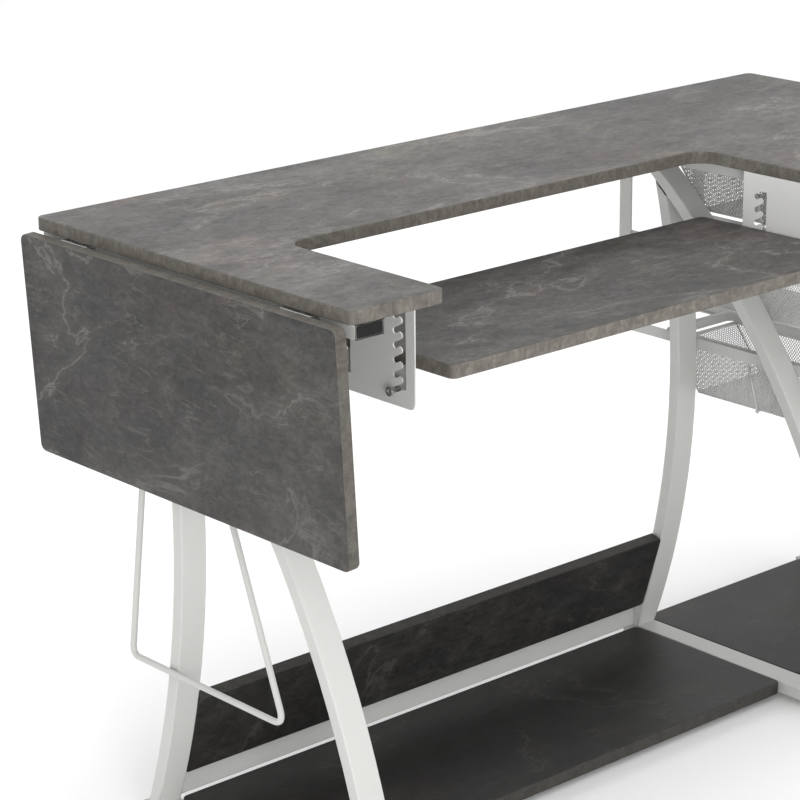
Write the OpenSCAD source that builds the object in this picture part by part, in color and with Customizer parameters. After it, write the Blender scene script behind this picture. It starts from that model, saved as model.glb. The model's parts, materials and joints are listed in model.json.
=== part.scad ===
// Craft table with a drop leaf, a notch-hung centre platform and mesh drawers.
// Units are millimetres. +Z is up, +Y points to the back, the floor is Z = 0.

/* [Table top] */
// Width of the table top
top_w = 1320; // [1240:5:1400]
// Depth of the table top
top_d = 597; // [560:1:640]
// Height of the top face above the floor
top_h = 762; // [740:1:790]
// Thickness of every board
board_t = 17; // [15:0.5:19]
// Corner radius of the boards
board_r = 10; // [8:1:25]
// Width of the left arm of the top
arm_w = 139; // [130:1:160]
// Width of the bay for the platform
bay_w = 727; // [690:1:740]
// Depth of the bay for the platform
bay_d = 282; // [270:1:300]
// Corner radius at the back of the bay
bay_r = 30; // [15:1:45]

/* [Drop leaf] */
// Width of the leaf from its hinge edge to its free edge
leaf_w = 285; // [250:1:290]
// Gap between the raised leaf and the top
leaf_gap = 2; // [1:0.5:3]
// Angle by which the hanging leaf leans in under the top
leaf_lean = 3.1; // [1:0.1:3.1]

/* [Platform] */
// Depth of the platform
plat_d = 279; // [260:1:290]
// Distance of the platform front edge ahead of the top front edge
plat_lead = 6; // [0:1:10]
// Drop of the platform top face below the table top
plat_drop = 90; // [80:1:95]
// Side gap between the platform and the arms
plat_gap = 4.5; // [3:0.5:8]

/* [Comb brackets] */
// Thickness of the bracket plates
plate_t = 2; // [1.5:0.5:3]
// Front edge of the bracket plates
comb_y0 = 51; // [40:1:60]
// Depth of the bracket plates
comb_d = 153; // [150:1:170]
// Distance of the bracket bottom below the table top
comb_low = 156; // [150:1:170]
// Vertical step between two notches
notch_pitch = 17.7; // [17:0.1:18]
// Slope of the notches below the horizontal
notch_slope = 28; // [20:1:32]
// Radius of the notches
notch_r = 3.6; // [3:0.1:4]

/* [Frame] */
// Width of the leg tubes
tube_w = 38; // [34:1:40]
// Thickness of the leg and floor tubes
tube_t = 18; // [15:1:20]
// Wall thickness of the tubes
tube_wall = 1.5; // [1:0.1:2]
// Distance of the leg tubes from the side edge of the top
frame_in = 9; // [9:0.5:12]
// Height of the foot pads
pad_h = 9; // [6:1:15]
// Radius of the front leg arc
leg_front_r = 1178.9; // [1150:0.1:1220]
// Radius of the rear leg arc
leg_rear_r = 1139.9; // [1100:0.1:1180]

/* [Drawers] */
// Outer width of the drawer rims
drawer_w = 144; // [130:1:160]
// Depth of the drawer rims
drawer_d = 362; // [330:1:370]
// Vertical step between two drawers
drawer_pitch = 133; // [128:1:140]
// Depth of the mesh baskets below their rims
basket_h = 69; // [55:1:75]

/* [Leaf stay] */
// Radius of the stay rod
rod_r = 4; // [3:0.5:4.5]
// Distance of the stay pivot below the table top
stay_drop = 225; // [215:1:235]

/* [Hidden] */
$fn = 64;
fine = 360;
clear = 0.3;
touch = 0.1;

under = top_h - board_t;
bay_x0 = arm_w;
bay_x1 = arm_w + bay_w;
bay_mid = (bay_x0 + bay_x1) / 2;

// Leaf pin and leaf swing
pin_out = 4.8;
pin_drop = 2.2;
pin_z = under - pin_drop;
swing = 90 + leaf_lean;
leaf_far = pin_out - (pin_out - leaf_gap) * cos(swing) + (board_t + pin_drop) * sin(swing);

// Frames
left_x = frame_in;
mid_x = bay_x1 + 20;
right_x = top_w - frame_in - tube_w;
rail_side = 2;
rail_w = tube_w + 2 * rail_side;
rail_t = tube_t;
rail_z0 = under - rail_t;
rail_y0 = 2;
rail_y1 = top_d - 7;
floor_z0 = pad_h;
floor_z1 = pad_h + tube_t;
floor_y0 = -32;
floor_y1 = 430;
front_cy = 1132.5;
front_cz = top_h - 949.5;
rear_cy = 1471.4;
rear_cz = top_h - 338.3;

// Whole object, used to centre it over the origin
all_x = (top_w - leaf_far) / 2;
all_y = (top_d + floor_y0) / 2;

// Comb brackets, platform carriers and bolts
lane_w = 6.5;
lane_in = 15;
tip_in = lane_in + lane_w;
notch_end = 33.5;
comb_step = 97;
notch_n = 6;
notch_z0 = top_h - 137;
finger_r = (notch_pitch * cos(notch_slope) - 2 * notch_r) / 2;
lane_top = top_h - 40;
lane_low = top_h - 134;
carrier_x0 = bay_x0 + plat_gap;
carrier_y0 = 60;
carrier_d = 136;
carrier_low = top_h - 148;
carrier_flange = 26;
bolt_r = 2.9;
bolt_head_r = 5.8;
bolt_head_t = 3.4;
bolt_head_x = bay_x0 - plate_t - 7;
bolt_sag = 0.5;
nut_r = 5.4;
nut_t = 4;
flange_t = 2;

// Hinges
hinge_y = [62, 482];
hinge_len = 53;
knuckle_r = 2;
hinge_pin_r = 1;
hinge_plate_t = 1.4;
hinge_plate_w = 30;
knuckle_gap = 0.3;
hinge_side_h = 14.7;
hinge_gap = 0.3;
hinge_top_w = pin_out + left_x - rail_side - touch - hinge_gap;
hinge_fit = 0.05;
hinge_neck = 3;
hinge_step = 2.6;

// Stay
stay_x = left_x + tube_w / 2;
stay_z = top_h - stay_drop;
stay_len = 310;
stay_rest_x = left_x - 0.4 - rod_r;
stay_bar_z = stay_z - stay_len;
stay_front_top = 292;
stay_rear_top = 420;
stay_front_low = 133;
stay_rear_low = 436;
stay_bend = 14;
stay_hole_gap = 0.06;
stay_reach = 3;
stay_root = 1.5;
stay_round = 0.42;

// Lower boards and cross tube
back_y = 357;
back_z = top_h - 585;
back_h = 118;
back_tilt = 17.2;
cross_y = 410;
cross_h = 35;
shelf_y0 = 126;
shelf_d = 279;
side_shelf_d = 297;
clip_t = 2;
clip_w = 20;

// Drawers
runner_t = 2;
runner_lip = 4;
runner_h = 15;
runner_y0 = 38;
runner_y1 = 484;
drawer_x0 = mid_x + tube_w + touch + runner_t + clear;
drawer_y1 = 402;
drawer_y0 = drawer_y1 - drawer_d;
drawer_z = top_h - 288;
rim_h = 13;
rim_w = 12;
rim_r = 15;
sheet = 1.2;
basket_in = 4.2;
basket_front = 12;
basket_back = 14;
basket_slope = 53;
hanger_w = 22;
hanger_t = 3;
hanger_y = [60, 462];
wire_r = 1.5;
brace_top_y = 241;
brace_low_y = 222;
knob_r = 3;

// Plugs and pads
plug_lip = 2;
plug_deep = 14;
pad_r = 13;
pad_y = [10, 395];

// ---- shared shapes ----

// Moves the whole table so that its bounding box is centred over the origin
module place() {
  translate([-all_x, -all_y, 0]) children();
}

// Rectangle with four round corners
module round_rect(x, y, r) {
  translate([r, 0]) square([x - 2 * r, y]);
  translate([0, r]) square([x, y - 2 * r]);
  for (cx = [r, x - r], cy = [r, y - r]) {
    translate([cx, cy]) circle(r);
  }
}

// Material left in the round inner corner between two edges
module fillet(r) {
  difference() {
    square(r);
    translate([r, r]) circle(r);
  }
}

// Flat board with round corners
module board(x, y, r) {
  linear_extrude(board_t) round_rect(x, y, r);
}

// Straight rectangular tube along +Y with open ends
module tube_y(w, len, t) {
  difference() {
    cube([w, len, t]);
    translate([tube_wall, -1, tube_wall]) {
      cube([w - 2 * tube_wall, len + 2, t - 2 * tube_wall]);
    }
  }
}

// Ring of rectangular tube standing in a YZ plane
module tube_ring(r) {
  rotate([90, 0, 90]) difference() {
    cylinder(h = tube_w, r = r, $fn = fine);
    translate([0, 0, -1]) cylinder(h = tube_w + 2, r = r - tube_t, $fn = fine);
    translate([0, 0, tube_wall]) difference() {
      cylinder(h = tube_w - 2 * tube_wall, r = r - tube_wall, $fn = fine);
      translate([0, 0, -1]) cylinder(h = tube_w, r = r - tube_t + tube_wall, $fn = fine);
    }
  }
}

// Round rod between two points
module rod(a, b, r) {
  d = b - a;
  l = norm(d);
  translate(a) rotate([0, acos(d[2] / l), atan2(d[1], d[0])]) cylinder(h = l, r = r, $fn = 32);
}

// Ball that joins two rods at a bend
module bend(p, r) {
  translate(p) rotate([17, 23, 0]) sphere(r * 1.02, $fn = 32);
}

// Point at fraction f of the way from a to b
function mix(a, b, f) = a + (b - a) * f;

// Front leg arc, from the floor tube up to the side rail
module front_leg(x) {
  intersection() {
    translate([x, front_cy, front_cz]) tube_ring(leg_front_r);
    translate([x - 1, floor_y0, floor_z1]) {
      cube([tube_w + 2, front_cy / 2 - floor_y0, rail_z0 - floor_z1]);
    }
  }
}

// Rear leg arc, from the floor tube up to the back of the front leg
module rear_leg(x) {
  intersection() {
    translate([x, rear_cy, rear_cz]) tube_ring(leg_rear_r);
    translate([x - 1, 0, floor_z1]) cube([tube_w + 2, rear_cy / 2, rail_z0 - floor_z1]);
    translate([x - 1, front_cy, front_cz]) rotate([90, 0, 90]) {
      cylinder(h = tube_w + 2, r = leg_front_r - tube_t - touch, $fn = fine);
    }
  }
}

// Closed plastic plug for a tube end that faces the front
module plug(w, t) {
  translate([tube_wall + touch, 0, tube_wall + touch]) {
    cube([w - 2 * (tube_wall + touch), plug_deep, t - 2 * (tube_wall + touch)]);
  }
}

// Openings of one comb in the YZ plane of a bracket, measured from the plate front edge
module comb_cut() {
  difference() {
    translate([lane_in, lane_low]) square([lane_w + finger_r, lane_top - lane_low]);
    for (i = [0 : notch_n - 2]) {
      translate([tip_in + finger_r, finger_z(i)]) circle(finger_r);
    }
  }
  for (i = [0 : notch_n - 1]) {
    translate([notch_end, notch_z0 + i * notch_pitch]) rotate(-notch_slope) {
      circle(notch_r);
      translate([-(notch_end - tip_in), -notch_r]) square([notch_end - tip_in, 2 * notch_r]);
    }
  }
}

// Height of the middle of finger i at its tip
function finger_z(i) =
  notch_z0 + (i + 0.5) * notch_pitch + (notch_end - tip_in - finger_r) * tan(notch_slope);

// Left comb bracket: plate with two combs and a flange under the arm
module comb_bracket(flange) {
  translate([bay_x0 - plate_t, 0, 0]) rotate([90, 0, 90]) linear_extrude(plate_t) {
    difference() {
      translate([comb_y0, top_h - comb_low]) comb_plate();
      translate([comb_y0, 0]) comb_cut();
      translate([comb_y0 + comb_step, 0]) comb_cut();
    }
  }
  translate([bay_x0 - plate_t - flange, comb_y0, under - touch - flange_t]) {
    cube([flange, comb_d, flange_t]);
  }
}

// Outline of a bracket plate, with round lower corners
module comb_plate() {
  h = comb_low - board_t - touch;
  r = 9;
  translate([r, 0]) square([comb_d - 2 * r, h]);
  translate([0, r]) square([comb_d, h - r]);
  for (cy = [r, comb_d - r]) {
    translate([cy, r]) circle(r);
  }
}

// Left carrier: an angle under the platform with two bolt holes
module carrier() {
  difference() {
    union() {
      translate([carrier_x0, carrier_y0, carrier_low]) {
        cube([flange_t, carrier_d, plat_z - touch - carrier_low]);
      }
      translate([carrier_x0, carrier_y0, plat_z - touch - flange_t]) {
        cube([carrier_flange, carrier_d, flange_t]);
      }
    }
    for (s = [0, 1]) {
      translate([carrier_x0 - 1, bolt_y(s), bolt_z]) rotate([0, 90, 0]) {
        cylinder(h = flange_t + 2, r = bolt_r + touch / 2);
      }
    }
  }
}

plat_z = top_h - plat_drop - board_t;
bolt_z = notch_z0 - bolt_sag;
function bolt_y(s) = comb_y0 + notch_end + s * comb_step;

// Left pair of bolts: shank, pan head and cross recess
module bolt_pair() {
  for (s = [0, 1]) {
    translate([bolt_head_x, bolt_y(s), bolt_z]) rotate([0, 90, 0]) difference() {
      union() {
        cylinder(h = carrier_x0 + flange_t + nut_t + 2 - bolt_head_x, r = bolt_r);
        translate([0, 0, -bolt_head_t]) cylinder(h = bolt_head_t, r = bolt_head_r);
      }
      for (a = [0, 90]) {
        rotate(a) translate([-3, -0.6, -bolt_head_t - 1]) cube([6, 1.2, 2.8]);
      }
    }
  }
}

// Left pair of nuts on the inner side of the carrier
module nut_pair() {
  for (s = [0, 1]) {
    translate([carrier_x0 + flange_t + touch, bolt_y(s), bolt_z]) rotate([0, 90, 0]) {
      difference() {
        cylinder(h = nut_t, r = nut_r, $fn = 6);
        translate([0, 0, -1]) cylinder(h = nut_t + 2, r = bolt_r + touch / 2);
      }
    }
  }
}

// Copies a left-hand piece to the right-hand side of the bay
module right_hand() {
  translate([2 * bay_mid, 0, 0]) mirror([1, 0, 0]) children();
}

// Puts a piece drawn in the raised position of the leaf into its hanging position
module hang() {
  translate([-pin_out, 0, pin_z]) rotate([0, -swing, 0]) {
    translate([pin_out, 0, -pin_z]) children();
  }
}

// Rectangular rim of one drawer, a flat band with round corners
module drawer_rim(z) {
  translate([drawer_x0, drawer_y0, z - rim_h]) linear_extrude(rim_h) difference() {
    round_rect(drawer_w, drawer_d, rim_r);
    translate([rim_w, rim_w]) {
      round_rect(drawer_w - 2 * rim_w, drawer_d - 2 * rim_w, rim_r - 6);
    }
  }
}

// Basket of one drawer: thin walls, flat floor and a sloping back
module drawer_basket(z) {
  y0 = drawer_y0 + basket_front;
  y1 = drawer_y1 - basket_back;
  zt = z - rim_h - touch;
  zb = zt - basket_h;
  w = drawer_w - 2 * basket_in;
  lean = basket_slope / basket_h;
  k = sheet * sqrt(1 + lean * lean);
  translate([drawer_x0 + basket_in, 0, 0]) rotate([90, 0, 90]) difference() {
    linear_extrude(w) polygon([[y0, zt], [y1, zt], [y1 - basket_slope, zb], [y0, zb]]);
    translate([0, 0, sheet]) linear_extrude(w - 2 * sheet) {
      polygon([[y0 + sheet, zt + 1], [y1 - k + lean, zt + 1],
        [y1 - k - basket_slope + lean * sheet, zb + sheet], [y0 + sheet, zb + sheet]]);
    }
  }
  basket_brace(z);
}

// Slanting wire on the left basket wall, with its knob and the wire under the floor
module basket_brace(z) {
  x = drawer_x0 + basket_in - wire_r;
  zb = z - rim_h - touch - basket_h - wire_r;
  zt = z - runner_h - 5;
  rod([x, brace_top_y, zt], [x, brace_low_y, zb], wire_r);
  rod([x, brace_low_y, zb], [x + drawer_w - 2 * basket_in, brace_low_y, zb], wire_r);
  translate([x, brace_low_y, zb]) sphere(knob_r);
}

// Two angle runners that carry the rim of one drawer. The left one stays under the side rail.
module runner_pair(z) {
  x0 = drawer_x0 - clear - runner_t;
  x1 = drawer_x0 + drawer_w + clear;
  len = runner_y1 - runner_y0;
  zl = z - rim_h - clear - runner_t;
  translate([x0, runner_y0, zl]) {
    cube([runner_t, len, min(runner_h, rail_z0 - touch - zl)]);
  }
  translate([x1, runner_y0, zl]) cube([runner_t, len, runner_h]);
  for (x = [x0 + runner_t, x1 - runner_lip]) {
    translate([x, runner_y0, zl]) cube([runner_lip, len, runner_t]);
  }
}

// ---- nodes ----

module top_board() {
  color("dimgray") place() translate([0, 0, under]) linear_extrude(board_t) {
    round_rect(arm_w, top_d, board_r);
    translate([bay_x1, 0]) round_rect(top_w - bay_x1, top_d, board_r);
    translate([arm_w - board_r, bay_d]) square([bay_w + 2 * board_r, top_d - bay_d]);
    translate([bay_x0, bay_d - bay_r]) translate([0, bay_r]) mirror([0, 1]) fillet(bay_r);
    translate([bay_x1, bay_d]) rotate(180) fillet(bay_r);
  }
}

module drop_leaf() {
  color("dimgray") place() hang() translate([-leaf_gap - leaf_w, 0, under]) {
    board(leaf_w, top_d, board_r);
  }
}

module hinge_bases() {
  color("silver") place() for (y = hinge_y) {
    difference() {
      union() {
        for (s = [0, 2]) {
          translate([-pin_out, y + s * hinge_len / 3, pin_z]) rotate([-90, 0, 0]) {
            cylinder(h = hinge_len / 3 - knuckle_gap, r = knuckle_r);
          }
          translate([-pin_out, y + s * hinge_len / 3, under - hinge_gap - hinge_plate_t]) {
            cube([hinge_top_w, hinge_len / 3 - knuckle_gap, hinge_plate_t]);
          }
        }
        translate([left_x - rail_side - touch - hinge_plate_t, y, under - hinge_side_h - hinge_gap]) {
          cube([hinge_plate_t, hinge_len - knuckle_gap, hinge_side_h]);
        }
      }
      translate([-pin_out, y - 1, pin_z]) rotate([-90, 0, 0]) {
        cylinder(h = hinge_len + 2, r = hinge_pin_r + hinge_fit);
      }
    }
  }
}

module hinge_leaves() {
  color("silver") place() hang() for (y = hinge_y) {
    difference() {
      union() {
        translate([-pin_out, y + hinge_len / 3, pin_z]) rotate([-90, 0, 0]) {
          cylinder(h = hinge_len / 3 - knuckle_gap, r = knuckle_r);
        }
        translate([-pin_out - hinge_neck, y + hinge_len / 3, under - touch - hinge_plate_t]) {
          cube([hinge_neck, hinge_len / 3 - knuckle_gap, hinge_plate_t]);
        }
        translate([-pin_out - hinge_plate_w, y, under - touch - hinge_plate_t]) {
          cube([hinge_plate_w - hinge_step, hinge_len, hinge_plate_t]);
        }
      }
      translate([-pin_out, y - 1, pin_z]) rotate([-90, 0, 0]) {
        cylinder(h = hinge_len + 2, r = hinge_pin_r + hinge_fit);
      }
    }
  }
}

module hinge_pins() {
  color("gainsboro") place() for (y = hinge_y) {
    translate([-pin_out, y, pin_z]) rotate([-90, 0, 0]) {
      cylinder(h = hinge_len - knuckle_gap, r = hinge_pin_r);
    }
  }
}

module leaf_stay() {
  front_top = [stay_x, stay_front_top, stay_z];
  rear_top = [stay_x, stay_rear_top, stay_z];
  front_low = [stay_rest_x, stay_front_low, stay_bar_z];
  rear_low = [stay_rest_x, stay_rear_low, stay_bar_z];
  f1 = stay_bend / norm(front_low - front_top);
  f2 = stay_bend / norm(rear_low - rear_top);
  f3 = stay_bend / norm(rear_low - front_low);
  a = mix(front_low, front_top, f1);
  b = mix(front_low, rear_low, f3);
  c = mix(rear_low, front_low, f3);
  d = mix(rear_low, rear_top, f2);
  am = mix(mix(a, b, 0.5), front_low, stay_round);
  cm = mix(mix(c, d, 0.5), rear_low, stay_round);
  color("gainsboro") place() {
    rod(front_top, a, rod_r);
    rod(a, am, rod_r);
    rod(am, b, rod_r);
    rod(b, c, rod_r);
    rod(c, cm, rod_r);
    rod(cm, d, rod_r);
    rod(d, rear_top, rod_r);
    rod([stay_x, stay_front_top - stay_root, stay_z], [stay_x, stay_leg_y0 + stay_reach, stay_z], rod_r);
    rod([stay_x, stay_rear_top + stay_root, stay_z], [stay_x, stay_leg_y1 - stay_reach, stay_z], rod_r);
    for (p = [front_top, a, am, b, c, cm, d, rear_top]) {
      bend(p, rod_r);
    }
  }
}

// Front and back faces of the rear leg at the height of the stay pivot
stay_leg_y0 = rear_cy - sqrt(leg_rear_r * leg_rear_r - pow(stay_z - rear_cz, 2));
stay_leg_y1 = rear_cy - sqrt(pow(leg_rear_r - tube_t, 2) - pow(stay_z - rear_cz, 2));

module side_rails() {
  color("gainsboro") place() for (x = [left_x, mid_x, right_x]) {
    translate([x - rail_side, rail_y0, rail_z0]) {
      tube_y(rail_w, rail_y1 - rail_y0, rail_t - touch);
    }
  }
}

module front_legs() {
  color("gainsboro") place() for (x = [left_x, mid_x, right_x]) {
    front_leg(x);
  }
}

module rear_legs() {
  color("gainsboro") place() difference() {
    for (x = [left_x, mid_x, right_x]) {
      rear_leg(x);
    }
    translate([stay_x, stay_front_top, stay_z]) rotate([-90, 0, 0]) {
      cylinder(h = stay_rear_top - stay_front_top, r = rod_r + stay_hole_gap);
    }
  }
}

module floor_tubes() {
  color("gainsboro") place() for (x = [left_x, mid_x, right_x]) {
    translate([x, floor_y0, floor_z0]) tube_y(tube_w, floor_y1 - floor_y0, tube_t);
  }
}

module rail_plugs() {
  color("black") place() for (x = [left_x, mid_x, right_x]) {
    translate([x - rail_side, rail_y0, rail_z0]) plug(rail_w, rail_t - touch);
    translate([x - rail_side, rail_y1, rail_z0]) mirror([0, 1, 0]) plug(rail_w, rail_t - touch);
  }
}

module floor_plugs() {
  color("black") place() for (x = [left_x, mid_x, right_x]) {
    translate([x, floor_y0, floor_z0]) plug(tube_w, tube_t);
    translate([x, floor_y1, floor_z0]) mirror([0, 1, 0]) plug(tube_w, tube_t);
  }
}

module foot_pads() {
  color("black") place() for (x = [left_x, mid_x, right_x], y = pad_y) {
    translate([x + tube_w / 2, y, 0]) cylinder(h = pad_h - touch, r = pad_r);
  }
}

module comb_bracket_left() {
  color("gainsboro") place() comb_bracket(34);
}

module comb_bracket_right() {
  color("gainsboro") place() right_hand() comb_bracket(mid_x - rail_side - bay_x1 - plate_t - clear);
}

module platform_board() {
  color("dimgray") place() translate([bay_x0 + plat_gap, -plat_lead, plat_z]) {
    board(bay_w - 2 * plat_gap, plat_d, board_r);
  }
}

module carrier_left() {
  color("gainsboro") place() carrier();
}

module carrier_right() {
  color("gainsboro") place() right_hand() carrier();
}

module carrier_bolts() {
  color("silver") place() {
    bolt_pair();
    right_hand() bolt_pair();
  }
}

module carrier_nuts() {
  color("silver") place() {
    nut_pair();
    right_hand() nut_pair();
  }
}

module lower_back_board() {
  len = mid_x - left_x - tube_w - 2 * touch;
  color("dimgray") place() translate([left_x + tube_w + touch, back_y, back_z]) {
    rotate([back_tilt, 0, 0]) translate([0, board_t, -back_h]) rotate([90, 0, 0]) {
      board(len, back_h, 6);
    }
  }
}

module lower_cross_tube() {
  len = mid_x - left_x - tube_w - 2 * touch;
  color("gainsboro") place() translate([left_x + tube_w + touch, cross_y, floor_z1]) {
    difference() {
      cube([len, tube_t, cross_h]);
      translate([-1, tube_wall, tube_wall]) {
        cube([len + 2, tube_t - 2 * tube_wall, cross_h - 2 * tube_wall]);
      }
    }
  }
}

module lower_shelf() {
  color("dimgray") place() {
    translate([left_x + tube_w + clear, shelf_y0, floor_z1 - board_t]) {
      board(mid_x - left_x - tube_w - 2 * clear, shelf_d, board_r);
    }
  }
}

module side_shelf() {
  color("dimgray") place() {
    translate([mid_x + tube_w + clear, shelf_y0, floor_z1 - board_t]) {
      board(right_x - mid_x - tube_w - 2 * clear, side_shelf_d, board_r);
    }
  }
}

module shelf_clips() {
  z = floor_z1 - board_t - touch - clip_t;
  color("silver") place() for (y = [170, 350]) {
    for (x = [left_x + tube_w, mid_x + tube_w]) {
      translate([x - 12, y, floor_z0 - touch - clip_t]) cube([12, clip_w, clip_t]);
      translate([x, y, floor_z0 - touch - clip_t]) cube([18, clip_w, clip_t]);
    }
    for (x = [mid_x, right_x]) {
      translate([x - 18, y, z]) cube([18, clip_w, clip_t]);
      translate([x, y, z]) cube([12, clip_w, floor_z0 - touch - z]);
    }
  }
}

module drawer_runners() {
  color("gainsboro") place() for (i = [0 : 2]) {
    runner_pair(drawer_z + i * drawer_pitch);
  }
}

module runner_hangers() {
  x0 = drawer_x0 - clear - runner_t - touch - hanger_t;
  x1 = drawer_x0 + drawer_w + clear + runner_t + touch;
  z0 = drawer_z - rim_h - clear - runner_t;
  color("gainsboro") place() {
    for (y = hanger_y) {
      translate([x1, y, z0]) cube([hanger_t, hanger_w, under - touch - z0]);
    }
    translate([x0, hanger_y[1], z0]) cube([hanger_t, hanger_w, rail_z0 - touch - z0]);
  }
}

module drawer_top_rim() {
  color("gainsboro") place() drawer_rim(drawer_z + 2 * drawer_pitch);
}

module drawer_top_basket() {
  color("white") place() drawer_basket(drawer_z + 2 * drawer_pitch);
}

module drawer_mid_rim() {
  color("gainsboro") place() drawer_rim(drawer_z + drawer_pitch);
}

module drawer_mid_basket() {
  color("white") place() drawer_basket(drawer_z + drawer_pitch);
}

module drawer_low_rim() {
  color("gainsboro") place() drawer_rim(drawer_z);
}

module drawer_low_basket() {
  color("white") place() drawer_basket(drawer_z);
}

top_board();
drop_leaf();
hinge_bases();
hinge_leaves();
hinge_pins();
leaf_stay();
side_rails();
front_legs();
rear_legs();
floor_tubes();
rail_plugs();
floor_plugs();
foot_pads();
comb_bracket_left();
comb_bracket_right();
platform_board();
carrier_left();
carrier_right();
carrier_bolts();
carrier_nuts();
lower_back_board();
lower_cross_tube();
lower_shelf();
side_shelf();
shelf_clips();
drawer_runners();
runner_hangers();
drawer_top_rim();
drawer_top_basket();
drawer_mid_rim();
drawer_mid_basket();
drawer_low_rim();
drawer_low_basket();
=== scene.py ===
import bpy
import bmesh
import json
import math
from mathutils import Matrix, Vector


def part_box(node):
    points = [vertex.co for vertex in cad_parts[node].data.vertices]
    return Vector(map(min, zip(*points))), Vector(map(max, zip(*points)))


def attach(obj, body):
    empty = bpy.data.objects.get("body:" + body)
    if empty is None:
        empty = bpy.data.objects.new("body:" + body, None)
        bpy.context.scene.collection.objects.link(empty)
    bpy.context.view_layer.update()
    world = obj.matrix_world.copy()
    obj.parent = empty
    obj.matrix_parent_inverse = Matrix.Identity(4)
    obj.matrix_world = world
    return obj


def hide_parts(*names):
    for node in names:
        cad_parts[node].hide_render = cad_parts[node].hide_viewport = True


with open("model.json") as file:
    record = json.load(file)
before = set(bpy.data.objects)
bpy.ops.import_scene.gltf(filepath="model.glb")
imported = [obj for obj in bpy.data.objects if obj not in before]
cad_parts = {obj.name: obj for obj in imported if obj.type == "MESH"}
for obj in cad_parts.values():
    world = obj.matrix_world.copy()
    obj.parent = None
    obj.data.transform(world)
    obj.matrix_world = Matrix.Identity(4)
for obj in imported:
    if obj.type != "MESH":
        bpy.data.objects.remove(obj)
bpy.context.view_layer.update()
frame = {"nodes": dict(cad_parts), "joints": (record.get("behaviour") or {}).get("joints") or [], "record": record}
nodes = frame["nodes"]
body_of = {n: b for b, ns in frame["record"]["behaviour"]["bodies"].items() for n in ns}
slot_of = {s["node"]: s["material_slot"] for s in frame["record"]["subparts"]}
MM = 0.001
ALONG_X, ALONG_Y, UP = range(3)

scene = bpy.context.scene
scene.view_settings.view_transform = "Standard"


# ---------------------------------------------------------------- materials

class Graph:
    """A node material that is built up line by line."""

    def __init__(self, name):
        self.mat = bpy.data.materials.new(name)
        self.mat.use_nodes = True
        self.t = self.mat.node_tree
        self.bsdf = self.t.nodes["Principled BSDF"]
        self.coord = self.t.nodes.new("ShaderNodeTexCoord")
        self.place = self.coord.outputs["Object"]

    def link(self, a, b):
        self.t.links.new(a, b)

    def mapped(self, scale, turn=(0, 0, 0), shift=(0, 0, 0)):
        m = self.t.nodes.new("ShaderNodeMapping")
        m.inputs["Scale"].default_value = scale
        m.inputs["Rotation"].default_value = turn
        m.inputs["Location"].default_value = shift
        self.link(self.place, m.inputs["Vector"])
        return m.outputs["Vector"]

    def noise(self, scale, detail=4.0, rough=0.55, warp=0.0, vec=None):
        n = self.t.nodes.new("ShaderNodeTexNoise")
        n.inputs["Scale"].default_value = scale
        n.inputs["Detail"].default_value = detail
        n.inputs["Roughness"].default_value = rough
        n.inputs["Distortion"].default_value = warp
        self.link(vec or self.place, n.inputs["Vector"])
        return n.outputs["Fac"]

    def ramp(self, value, *stops):
        r = self.t.nodes.new("ShaderNodeValToRGB")
        e = r.color_ramp.elements
        while len(e) < len(stops):
            e.new(0.5)
        for i, (p, c) in enumerate(stops):
            e[i].position = p
            e[i].color = (c, c, c, 1) if isinstance(c, (int, float)) else (*c, 1)
        self.link(value, r.inputs["Fac"])
        return r.outputs["Color"]

    def math(self, op, a, b=0.0, clamp=False):
        m = self.t.nodes.new("ShaderNodeMath")
        m.operation = op
        m.use_clamp = clamp
        for socket, v in zip(m.inputs, (a, b)):
            if isinstance(v, (int, float)):
                socket.default_value = v
            else:
                self.link(v, socket)
        return m.outputs["Value"]

    def mix(self, fac, a, b, kind="MIX"):
        m = self.t.nodes.new("ShaderNodeMix")
        m.data_type = "RGBA"
        m.blend_type = kind
        for socket, v in ((m.inputs["Factor"], fac), (m.inputs["A"], a), (m.inputs["B"], b)):
            if isinstance(v, (int, float)):
                socket.default_value = v
            elif isinstance(v, tuple):
                socket.default_value = (*v, 1)
            else:
                self.link(v, socket)
        return m.outputs["Result"]

    def bump(self, height, strength, distance):
        b = self.t.nodes.new("ShaderNodeBump")
        b.inputs["Strength"].default_value = strength
        b.inputs["Distance"].default_value = distance
        self.link(height, b.inputs["Height"])
        self.link(b.outputs["Normal"], self.bsdf.inputs["Normal"])

    def color(self, value):
        self.link(value, self.bsdf.inputs["Base Color"])

    def rough(self, value, low, high):
        m = self.t.nodes.new("ShaderNodeMapRange")
        m.inputs["To Min"].default_value = low
        m.inputs["To Max"].default_value = high
        self.link(value, m.inputs["Value"])
        self.link(m.outputs["Result"], self.bsdf.inputs["Roughness"])


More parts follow.
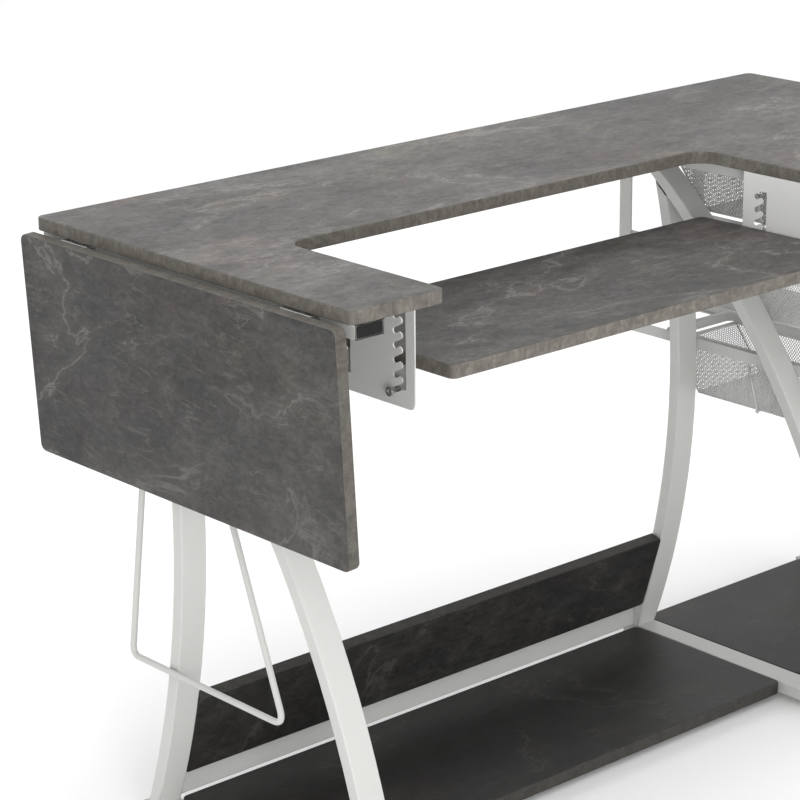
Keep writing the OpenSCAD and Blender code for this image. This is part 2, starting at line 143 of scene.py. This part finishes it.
def slate(name, across, long_axis=0, shift=0.0, painted_light_tone=1.0, painted_light_band_tone=1.0, vein=0.34):
    """Slate-patterned laminate. across is the axis of the board's thickness, long_axis that of its print. The two
    tone arguments scale the print and the edge band by one factor per board: painted light and shade.
    """
    g = Graph(name)

    def stretched(along, aside, turn, move):
        scale = [aside] * 3
        scale[long_axis] = along
        return g.mapped(tuple(scale), turn, (move + shift, move * 0.7 + shift, move * 1.3))

    # every print colour is scaled by the board's tone: painted light and shade, not a different laminate
    def shade(r, gr, b):
        return (r * painted_light_tone, gr * painted_light_tone, b * painted_light_tone)

    # broad soft clouds, then leathery mottling at two finer sizes
    clouds = g.noise(7.0, 7.0, 0.6, 0.5, stretched(0.55, 1.0, (0.1, 0.05, 0.25), 0.0))
    base = g.ramp(clouds, (0.32, shade(0.042, 0.040, 0.040)), (0.5, shade(0.068, 0.065, 0.064)),
                  (0.7, shade(0.115, 0.111, 0.106)))
    mottle = g.noise(44.0, 9.0, 0.74, 0.7, stretched(0.6, 1.0, (0.2, 0.1, -0.35), 1.7))
    base = g.mix(1.0, base, g.ramp(mottle, (0.36, 0.60), (0.5, 0.96), (0.66, 1.5)), "MULTIPLY")
    pores = g.noise(170.0, 6.0, 0.7, 0.6, stretched(0.5, 1.0, (0, 0, 0.4), 2.9))
    base = g.mix(1.0, base, g.ramp(pores, (0.36, 0.72), (0.5, 1.0), (0.65, 1.3)), "MULTIPLY")
    brown = g.noise(9.0, 7.0, 0.62, 1.0, stretched(0.5, 1.0, (0, 0, 0.3), 3.1))
    brown = g.ramp(brown, (0.5, 0.0), (0.7, 0.5))
    base = g.mix(brown, base, g.mix(1.0, base, (1.38, 1.0, 0.90), "MULTIPLY"))
    olive = g.noise(11.0, 6.0, 0.6, 0.8, stretched(0.6, 1.0, (0, 0.2, 0), 7.7))
    olive = g.ramp(olive, (0.5, 0.0), (0.68, 0.6))
    base = g.mix(olive, base, g.mix(1.0, base, (1.16, 1.16, 0.92), "MULTIPLY"))

    def ridge(scale, detail, warp, width, vec):
        field = g.noise(scale, detail, 0.6, warp, vec)
        return g.ramp(g.math("ABSOLUTE", g.math("SUBTRACT", field, 0.5)), (0.0, 1.0), (width, 0.0))

    def patchy(scale, low, high, move):
        field = g.noise(scale, 3.0, 0.5, 0.3, stretched(1.0, 1.0, (0, 0, 0), move))
        return g.ramp(field, (low, 0.0), (high, 1.0))

    # long pale veins, short scratches in two directions, and a fine crackle
    veins = g.math("MULTIPLY", ridge(3.6, 9.0, 0.5, 0.008, stretched(0.6, 1.1, (0.3, 0.2, 0.5), 4.4)),
                   patchy(6.0, 0.38, 0.56, 5.5))
    hair_a = g.math("MULTIPLY", ridge(14.0, 6.0, 0.7, 0.014, stretched(0.35, 1.5, (0.1, 0.2, 0.6), 6.1)),
                    patchy(15.0, 0.47, 0.66, 8.2))
    hair_b = g.math("MULTIPLY", ridge(19.0, 6.0, 0.7, 0.014, stretched(0.4, 1.6, (0.2, 0.4, -0.7), 1.3)),
                    patchy(17.0, 0.48, 0.66, 2.6))
    haze = g.math("MULTIPLY", ridge(3.6, 7.0, 0.5, 0.055, stretched(0.6, 1.1, (0.3, 0.2, 0.5), 4.4)),
                  patchy(6.0, 0.38, 0.56, 5.5))
    marks = g.math("MAXIMUM", veins, g.math("MULTIPLY", g.math("MAXIMUM", hair_a, hair_b), 0.62))
    crackle = ridge(46.0, 7.0, 0.9, 0.05, stretched(0.8, 1.0, (0.4, 0, 0.2), 9.9))
    base = g.mix(g.math("MULTIPLY", crackle, 0.16), base, shade(0.19, 0.183, 0.168))
    base = g.mix(g.math("MULTIPLY", haze, vein * 0.55), base, shade(0.20, 0.19, 0.175))
    base = g.mix(g.math("MULTIPLY", marks, vein), base, shade(0.40, 0.38, 0.34))
    # edge band: the same print, a little warmer, brushed across the thickness; its band tone paints the light and
    # shade on each board's edges
    axes = g.t.nodes.new("ShaderNodeSeparateXYZ")
    g.link(g.coord.outputs["Normal"], axes.inputs["Vector"])
    side = g.math("LESS_THAN", g.math("ABSOLUTE", axes.outputs[across]), 0.72)
    brush = [1.0, 1.0, 1.0]
    brush[across] = 0.16
    grain = g.noise(260.0, 6.0, 0.65, 0.4, g.mapped(tuple(brush), (0, 0, 0), (shift, 2, 1)))
    blotch = g.noise(70.0, 7.0, 0.7, 0.9, g.mapped((1, 1, 1), (0, 0, 0), (2 + shift, 5, 4)))
    band = g.ramp(blotch, (0.3, (0.090 * painted_light_band_tone, 0.080 * painted_light_band_tone, 0.067 * painted_light_band_tone)),
                  (0.5, (0.140 * painted_light_band_tone, 0.127 * painted_light_band_tone, 0.108 * painted_light_band_tone)),
                  (0.72, (0.215 * painted_light_band_tone, 0.198 * painted_light_band_tone, 0.172 * painted_light_band_tone)))
    band = g.mix(1.0, band, g.ramp(grain, (0.3, 0.82), (0.5, 1.0), (0.72, 1.15)), "MULTIPLY")
    g.color(g.mix(side, base, band))
    g.rough(mottle, 0.44, 0.60)
    relief = g.math("ADD", g.math("MULTIPLY", marks, -0.6), g.math("MULTIPLY", pores, 0.5))
    g.bump(relief, 0.35, 0.0004)
    g.bsdf.inputs["Specular IOR Level"].default_value = 0.36
    return g.mat


def powder(name, color, peel=0.16, gloss=(0.36, 0.48)):
    """Satin powder coat: fine orange peel and a faint drift in tone."""
    g = Graph(name)
    low = tuple(c * 0.965 for c in color)
    high = tuple(min(1.0, c * 1.02) for c in color)
    base = g.ramp(g.noise(7.0, 4.0, 0.5, 0.3), (0.3, low), (0.7, high))
    speck = g.ramp(g.noise(900.0, 2.0, 0.5), (0.3, 0.975), (0.7, 1.015))
    g.color(g.mix(1.0, base, speck, "MULTIPLY"))
    g.rough(g.noise(60.0, 3.0, 0.5), *gloss)
    g.bump(g.noise(520.0, 3.0, 0.5), peel, 0.00025)
    return g.mat


def metal(name, color):
    """Zinc plate: cloudy tone, fine rolling lines and handling marks."""
    g = Graph(name)
    g.bsdf.inputs["Metallic"].default_value = 1.0
    base = g.ramp(g.noise(90.0, 5.0, 0.6, 0.6), (0.3, tuple(c * 0.8 for c in color)), (0.7, color))
    lines = g.noise(40.0, 3.0, 0.6, 0.0, g.mapped((30, 4, 30)))
    g.color(g.mix(1.0, base, g.ramp(lines, (0.3, 0.9), (0.7, 1.05)), "MULTIPLY"))
    g.rough(g.noise(130.0, 4.0, 0.6), 0.26, 0.44)
    g.bump(lines, 0.12, 0.0001)
    return g.mat


def moulded(name, color):
    """Moulded black plastic with a light spark texture."""
    g = Graph(name)
    base = g.ramp(g.noise(45.0, 4.0, 0.6), (0.3, color), (0.75, tuple(c * 1.7 + 0.003 for c in color)))
    g.color(base)
    g.rough(g.noise(200.0, 3.0, 0.5), 0.42, 0.6)
    g.bump(g.noise(300.0, 3.0, 0.6), 0.12, 0.0002)
    g.bsdf.inputs["Specular IOR Level"].default_value = 0.12
    return g.mat


FRAME_TONE = (0.49, 0.493, 0.475)
# All boards are one laminate; each copy's tone and band tone paint the light or shade on that board, brightest on
# the lit top, darkest on the shaded back board and shelves.
mat_top = slate("laminate_top", UP, ALONG_X, shift=0.0, painted_light_tone=1.08, painted_light_band_tone=0.78, vein=0.26)
mat_platform = slate("laminate_platform", UP, ALONG_X, shift=2.3, painted_light_tone=0.70, painted_light_band_tone=0.85, vein=0.36)
mat_leaf = slate("laminate_leaf", ALONG_X, ALONG_Y, shift=5.1, painted_light_tone=0.49, painted_light_band_tone=0.58, vein=0.48)
mat_back = slate("laminate_back", ALONG_Y, ALONG_X, shift=7.4, painted_light_tone=0.24, painted_light_band_tone=0.2, vein=0.36)
mat_shelf = slate("laminate_shelf", UP, ALONG_X, shift=9.2, painted_light_tone=0.19, painted_light_band_tone=0.22, vein=0.36)
mat_frame = powder("powder_coat", FRAME_TONE)
# The brackets wear the frame's paint; this lighter copy paints the light that falls on them under the top.
mat_bracket_lit = powder("bracket_lit_powder_coat", (0.62, 0.617, 0.605))
mat_mesh = powder("mesh_powder_coat", (0.55, 0.55, 0.54), 0.1, (0.4, 0.5))
mat_zinc = metal("zinc_plate", (0.50, 0.51, 0.51))
mat_plastic = moulded("black_plastic", (0.008, 0.008, 0.008))
special = {"top_board": mat_top, "platform_board": mat_platform, "drop_leaf": mat_leaf,
           "lower_back_board": mat_back, "lower_shelf": mat_shelf, "side_shelf": mat_shelf,
           "comb_bracket_left": mat_bracket_lit, "comb_bracket_right": mat_bracket_lit}
by_slot = {"laminate": mat_top, "frame_paint": mat_frame, "zinc": mat_zinc, "plastic": mat_plastic,
           "mesh_paint": mat_mesh}


# ---------------------------------------------------------------- piece helpers

def keep(ob, node, name=None):
    """Puts a finished piece in place of a CAD node: same body, same slot."""
    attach(ob, body_of[node])
    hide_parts(node)
    ob.data.materials.clear()
    ob.data.materials.append(special.get(node) or by_slot[slot_of[node]])
    return ob


def new_object(name, bm):
    me = bpy.data.meshes.new(name)
    bm.normal_update()
    bm.to_mesh(me)
    bm.free()
    if "custom_normal" in me.attributes:
        me.attributes.remove(me.attributes["custom_normal"])
    ob = bpy.data.objects.new(name, me)
    scene.collection.objects.link(ob)
    return ob


WELD = 2e-6
FLAT = math.radians(0.6)
ACROSS = 0.95


def clean_copy(node, end_axis=None):
    """A welded copy with flat faces merged.

    Faces across end_axis, the ring ends of tubes, stay as triangles: merged, they would close the bore.
    """
    bm = bmesh.new()
    bm.from_mesh(nodes[node].data)
    bmesh.ops.remove_doubles(bm, verts=bm.verts, dist=WELD)
    bm.normal_update()
    edges = [e for e in bm.edges
             if end_axis is None or not any(abs(f.normal[end_axis]) > ACROSS for f in e.link_faces)]
    if end_axis is None:
        bmesh.ops.dissolve_limit(bm, angle_limit=FLAT, verts=bm.verts, edges=edges)
    else:
        flat = [e for e in edges if len(e.link_faces) == 2 and e.calc_face_angle(9) < FLAT]
        bmesh.ops.dissolve_edges(bm, edges=flat, use_verts=False)
    return bm


def rounded(node, width, segments=3, pick=None, angle=32, end_axis=None, clamp=True):
    """A copy of a CAD node with rounded edges. pick says which of its sharp edges are rounded."""
    bm = clean_copy(node, end_axis)
    layer = bm.edges.layers.float.new("bevel_weight_edge")
    bm.normal_update()
    sharp = []
    for e in bm.edges:
        if len(e.link_faces) == 2 and e.calc_face_angle(0) > math.radians(angle):
            a, b = (f.normal for f in e.link_faces)
            if pick is None or pick(a, b, e):
                sharp.append(e)
    for e in sharp:
        e[layer] = 1.0
    for f in bm.faces:
        f.smooth = True
    for e in bm.edges:
        if len(e.link_faces) == 2 and e.calc_face_angle(0) > math.radians(angle):
            e.smooth = False
    for e in sharp:
        e.smooth = True
    ob = new_object(node + "_looks", bm)
    mod = ob.modifiers.new("edges", "BEVEL")
    mod.limit_method = "WEIGHT"
    mod.width = width
    mod.segments = segments
    mod.use_clamp_overlap = clamp
    mod.harden_normals = True
    return keep(ob, node)


def tube_leg(a, b, e):
    """Edges that run along a leg: one side face, one curved face, no end face."""
    side = sorted((abs(a.x), abs(b.x)))
    return side[0] < 0.1 and side[1] > 0.9 and max(abs(a.z), abs(b.z)) < ACROSS


def tube_along_y(a, b, e):
    return max(abs(a.y), abs(b.y)) < 0.1


def tube_along_x(a, b, e):
    return max(abs(a.x), abs(b.x)) < 0.1


# ---------------------------------------------------------------- boards and frame

for node in ("top_board", "platform_board", "drop_leaf", "lower_back_board", "lower_shelf", "side_shelf"):
    rounded(node, (2.4 if node == "drop_leaf" else 1.5) * MM, 4)
for node in ("front_legs", "rear_legs"):
    rounded(node, 2.4 * MM, 4, tube_leg, end_axis=UP, clamp=False)
for node in ("side_rails", "floor_tubes"):
    rounded(node, 2.2 * MM, 4, tube_along_y, end_axis=ALONG_Y, clamp=False)
rounded("lower_cross_tube", 2.2 * MM, 4, tube_along_x, end_axis=ALONG_X, clamp=False)
for node in ("comb_bracket_left", "comb_bracket_right", "carrier_left", "carrier_right"):
    rounded(node, 0.45 * MM, 2)
for node in ("drawer_runners", "runner_hangers"):
    rounded(node, 0.5 * MM, 2)
for node in ("drawer_top_rim", "drawer_mid_rim", "drawer_low_rim"):
    rounded(node, 2.6 * MM, 4)
rounded("rail_plugs", 0.9 * MM, 3)
rounded("floor_plugs", 0.9 * MM, 3)
rounded("foot_pads", 1.6 * MM, 3)
rounded("carrier_bolts", 0.5 * MM, 3)
rounded("carrier_nuts", 0.35 * MM, 2)
rounded("hinge_bases", 0.3 * MM, 2)
rounded("hinge_leaves", 0.3 * MM, 2)
rounded("hinge_pins", 0.3 * MM, 2)
rounded("shelf_clips", 0.4 * MM, 2)


# ---------------------------------------------------------------- round wire

def sweep(bm, points, radius, sides=14):
    """Round wire along a list of points, with its rings kept from twisting."""
    rings = []
    up = None
    for i, p in enumerate(points):
        a = points[max(i - 1, 0)]
        b = points[min(i + 1, len(points) - 1)]
        d = (b - a).normalized()
        if up is None:
            up = d.orthogonal().normalized()
        up = (up - d * up.dot(d)).normalized()
        side = d.cross(up)
        rings.append([bm.verts.new(p + (up * math.cos(t) + side * math.sin(t)) * radius)
                      for t in (2 * math.pi * k / sides for k in range(sides))])
    for r0, r1 in zip(rings, rings[1:]):
        for k in range(sides):
            f = bm.faces.new((r0[k], r0[(k + 1) % sides], r1[(k + 1) % sides], r1[k]))
            f.smooth = True
    bm.faces.new(rings[0][::-1])
    bm.faces.new(rings[-1])


def filleted(corners, radius, steps=8):
    """A path through corners with each inner corner rounded."""
    out = [corners[0]]
    for a, c, b in zip(corners, corners[1:], corners[2:]):
        u, v = (a - c).normalized(), (b - c).normalized()
        cut = min(radius / math.tan(u.angle(v) / 2), 0.45 * (a - c).length, 0.45 * (b - c).length)
        p, q = c + u * cut, c + v * cut
        for k in range(steps + 1):
            t = k / steps
            out.append(p.lerp(c, t).lerp(c.lerp(q, t), t))
    out.append(corners[-1])
    return out


top_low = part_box("top_board")[0]


def at(x, y, z):
    """Millimetres from the left front corner of the top, and above the floor."""
    return Vector((top_low.x + x * MM, top_low.y + y * MM, z * MM))


swing = next(j for j in frame["joints"] if j["name"] == "stay_swing")
low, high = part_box("leaf_stay")
rod_r = 4 * MM
px, pz = swing["pos_m"][0], swing["pos_m"][2]
bend_r = rod_r * 1.02


def on_pivot(y):
    """A point on the stay's pivot line, y mm behind the top's front edge."""
    return Vector((px, at(0, y, 0).y, pz))


# from the seat in the leg out to the front, down, along the loop's foot and back up
stay_path = [on_pivot(340), on_pivot(292),
             Vector((low.x + bend_r, low.y + 3 * MM, low.z + bend_r)),
             Vector((low.x + bend_r, high.y - bend_r, low.z + bend_r)),
             on_pivot(420), on_pivot(352)]
bm = bmesh.new()
sweep(bm, filleted(stay_path, 13 * MM, 10), rod_r, 20)
keep(new_object("leaf_stay_looks", bm), "leaf_stay")


# ---------------------------------------------------------------- mesh baskets

def bar(bm, a, b, s, m):
    """A straight bar from a to b; s and m are the halves of its two widths."""
    signs = ((1, 1), (-1, 1), (-1, -1), (1, -1))
    ends = [[bm.verts.new(p + s * i + m * j) for i, j in signs] for p in (a, b)]
    for k in range(4):
        bm.faces.new((ends[0][k], ends[0][(k + 1) % 4], ends[1][(k + 1) % 4], ends[1][k]))
    bm.faces.new(ends[0][::-1])
    bm.faces.new(ends[1])


def clip(poly, p, d):
    """The stretch of the line p + t*d inside a convex polygon, as two values of t."""
    lo, hi = -1e9, 1e9
    turn = sum(a[0] * b[1] - b[0] * a[1] for a, b in zip(poly, poly[1:] + poly[:1]))
    for a, b in zip(poly, poly[1:] + poly[:1]):
        ex, ey = b[0] - a[0], b[1] - a[1]
        nx, ny = (-ey, ex) if turn > 0 else (ey, -ex)
        num = nx * (p[0] - a[0]) + ny * (p[1] - a[1])
        den = nx * d[0] + ny * d[1]
        if abs(den) < 1e-12:
            if num < 0:
                return None
        elif den > 0:
            lo = max(lo, -num / den)
        else:
            hi = min(hi, -num / den)
    return (lo, hi) if hi - lo > 1e-4 else None


def woven(bm, corners, pitch, half, lean=52):
    """Fills a flat wall with two crossing sets of straight wires."""
    o = corners[0]
    u = (corners[1] - o).normalized()
    n = u.cross(corners[-1] - o).normalized()
    v = n.cross(u)
    poly = [((c - o).dot(u), (c - o).dot(v)) for c in corners]
    for sign in (1, -1):
        t = math.radians(lean) * sign
        d = (math.cos(t), math.sin(t))
        q = (-d[1], d[0])
        reach = [a * q[0] + b * q[1] for a, b in poly]
        k = math.ceil(min(reach) / pitch)
        while k * pitch < max(reach):
            p = (q[0] * k * pitch, q[1] * k * pitch)
            span = clip(poly, p, d)
            if span:
                lift = n * (sign * half * 0.55)
                a, b = (o + u * (p[0] + d[0] * s) + v * (p[1] + d[1] * s) + lift for s in span)
                bar(bm, a, b, (b - a).normalized().cross(n).normalized() * half, n * half)
            k += 1


def basket(level):
    """One drawer's mesh walls and floor, their edge wires and the slanting wire on the left."""
    rim_low, rim_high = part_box("drawer_%s_rim" % level)
    x0, x1 = rim_low.x + 4.8 * MM, rim_high.x - 4.8 * MM
    y0, y1 = rim_low.y + 12.6 * MM, rim_high.y - 14.8 * MM
    yb = y1 - 53 * MM
    zt = rim_low.z - 0.1 * MM
    zb = zt - 68.4 * MM
    zm = zt - 4 * MM
    outline = ((y0, zm), (y1 - 3 * MM, zm), (yb, zb), (y0, zb))
    left = [Vector((x0, y, z)) for y, z in outline]
    right = [Vector((x1, p.y, p.z)) for p in left]
    bm = bmesh.new()
    pitch, half = 3.7 * MM, 0.42 * MM
    woven(bm, left, pitch, half)
    woven(bm, right, pitch, half)
    woven(bm, [left[0], right[0], right[3], left[3]], pitch, half)
    woven(bm, [left[1], right[1], right[2], left[2]], pitch, half)
    woven(bm, [left[3], right[3], right[2], left[2]], pitch, half)
    wire = 1.25 * MM
    inset = 0.8 * MM
    strip = 0.6 * MM
    for wall in (left, right):
        s = 1 if wall is left else -1
        inner = [Vector((p.x + s * inset, p.y, p.z)) for p in wall]
        sweep(bm, [inner[1], inner[2]], wire, 8)
        sweep(bm, [inner[2], inner[3]], wire, 8)
        sweep(bm, [inner[3], inner[0]], wire, 8)
    for k in (2, 3):
        up = Vector((0, 0, inset))
        sweep(bm, [left[k] + up, right[k] + up], wire, 8)
    # folded strip that holds the mesh under the rim
    ring = [left[0], left[1], right[1], right[0]]
    for a, b in zip(ring, ring[1:] + ring[:1]):
        mid_z = Vector((0, 0, (zt - zm) / 2 - 0.4 * MM))
        d = (b - a).normalized()
        side = d.cross(Vector((0, 0, 1))) * strip
        bar(bm, a - d * strip + mid_z, b + d * strip + mid_z, side, Vector((0, 0, 2.3 * MM)))
    # slanting wire on the left wall, its knob and the wire under the floor
    bx = rim_low.x + 2.7 * MM
    top_y, low_y = rim_high.y - 161 * MM, rim_high.y - 180 * MM
    bz = rim_low.z - 70.6 * MM
    knee = Vector((bx, low_y, bz))
    sweep(bm, [Vector((bx, top_y, rim_low.z - 7 * MM)), knee], 1.5 * MM, 12)
    sweep(bm, [knee, Vector((bx + 135 * MM, low_y, bz))], 1.5 * MM, 12)
    bmesh.ops.create_uvsphere(bm, u_segments=20, v_segments=12, radius=2.9 * MM,
                              matrix=Matrix.Translation(knee))
    bmesh.ops.recalc_face_normals(bm, faces=bm.faces)
    keep(new_object("drawer_%s_mesh" % level, bm), "drawer_%s_basket" % level)


for level in ("top", "mid", "low"):
    basket(level)


# ---------------------------------------------------------------- floor, light, camera

bm = bmesh.new()
size = 14.0
corners = [bm.verts.new((sx * size, sy * size, 0)) for sx, sy in ((-1, -1), (1, -1), (1, 1), (-1, 1))]
bm.faces.new(corners)
floor = new_object("studio_floor", bm)
g = Graph("studio_white")
g.color(g.ramp(g.noise(2.0, 2.0), (0.3, 0.955), (0.7, 0.965)))
g.bsdf.inputs["Roughness"].default_value = 0.9
g.bsdf.inputs["Specular IOR Level"].default_value = 0.1
floor.data.materials.append(g.mat)

world = bpy.data.worlds.new("studio")
world.use_nodes = True
world.node_tree.nodes["Background"].inputs["Color"].default_value = (1, 1, 1, 1)
world.node_tree.nodes["Background"].inputs["Strength"].default_value = 1.02
scene.world = world


def area(name, place, aim, size, power):
    data = bpy.data.lights.new(name, "AREA")
    data.shape = "DISK"
    data.size = size
    data.energy = power
    ob = bpy.data.objects.new(name, data)
    ob.location = place
    ob.rotation_euler = (Vector(aim) - Vector(place)).to_track_quat("-Z", "Y").to_euler()
    scene.collection.objects.link(ob)
    return ob


area("key", (0.8, -3.4, 2.4), (0, 0, 0.5), 2.4, 20)
area("soft_top", (-0.4, 0.4, 3.6), (0, 0, 0.6), 3.0, 30)
area("left_fill", (-2.3, -3.3, 0.9), (-0.5, -0.1, 0.6), 1.3, 52)

data = bpy.data.cameras.new("photo_angle")
data.sensor_width = 36.0
data.lens = 125.0
data.clip_end = 60.0
camera = bpy.data.objects.new("photo_angle", data)
camera.location = (-2.525, -2.477, 1.580)
camera.rotation_euler = tuple(math.radians(v) for v in (72.35, 0.556, -41.745))
scene.collection.objects.link(camera)
scene.camera = camera
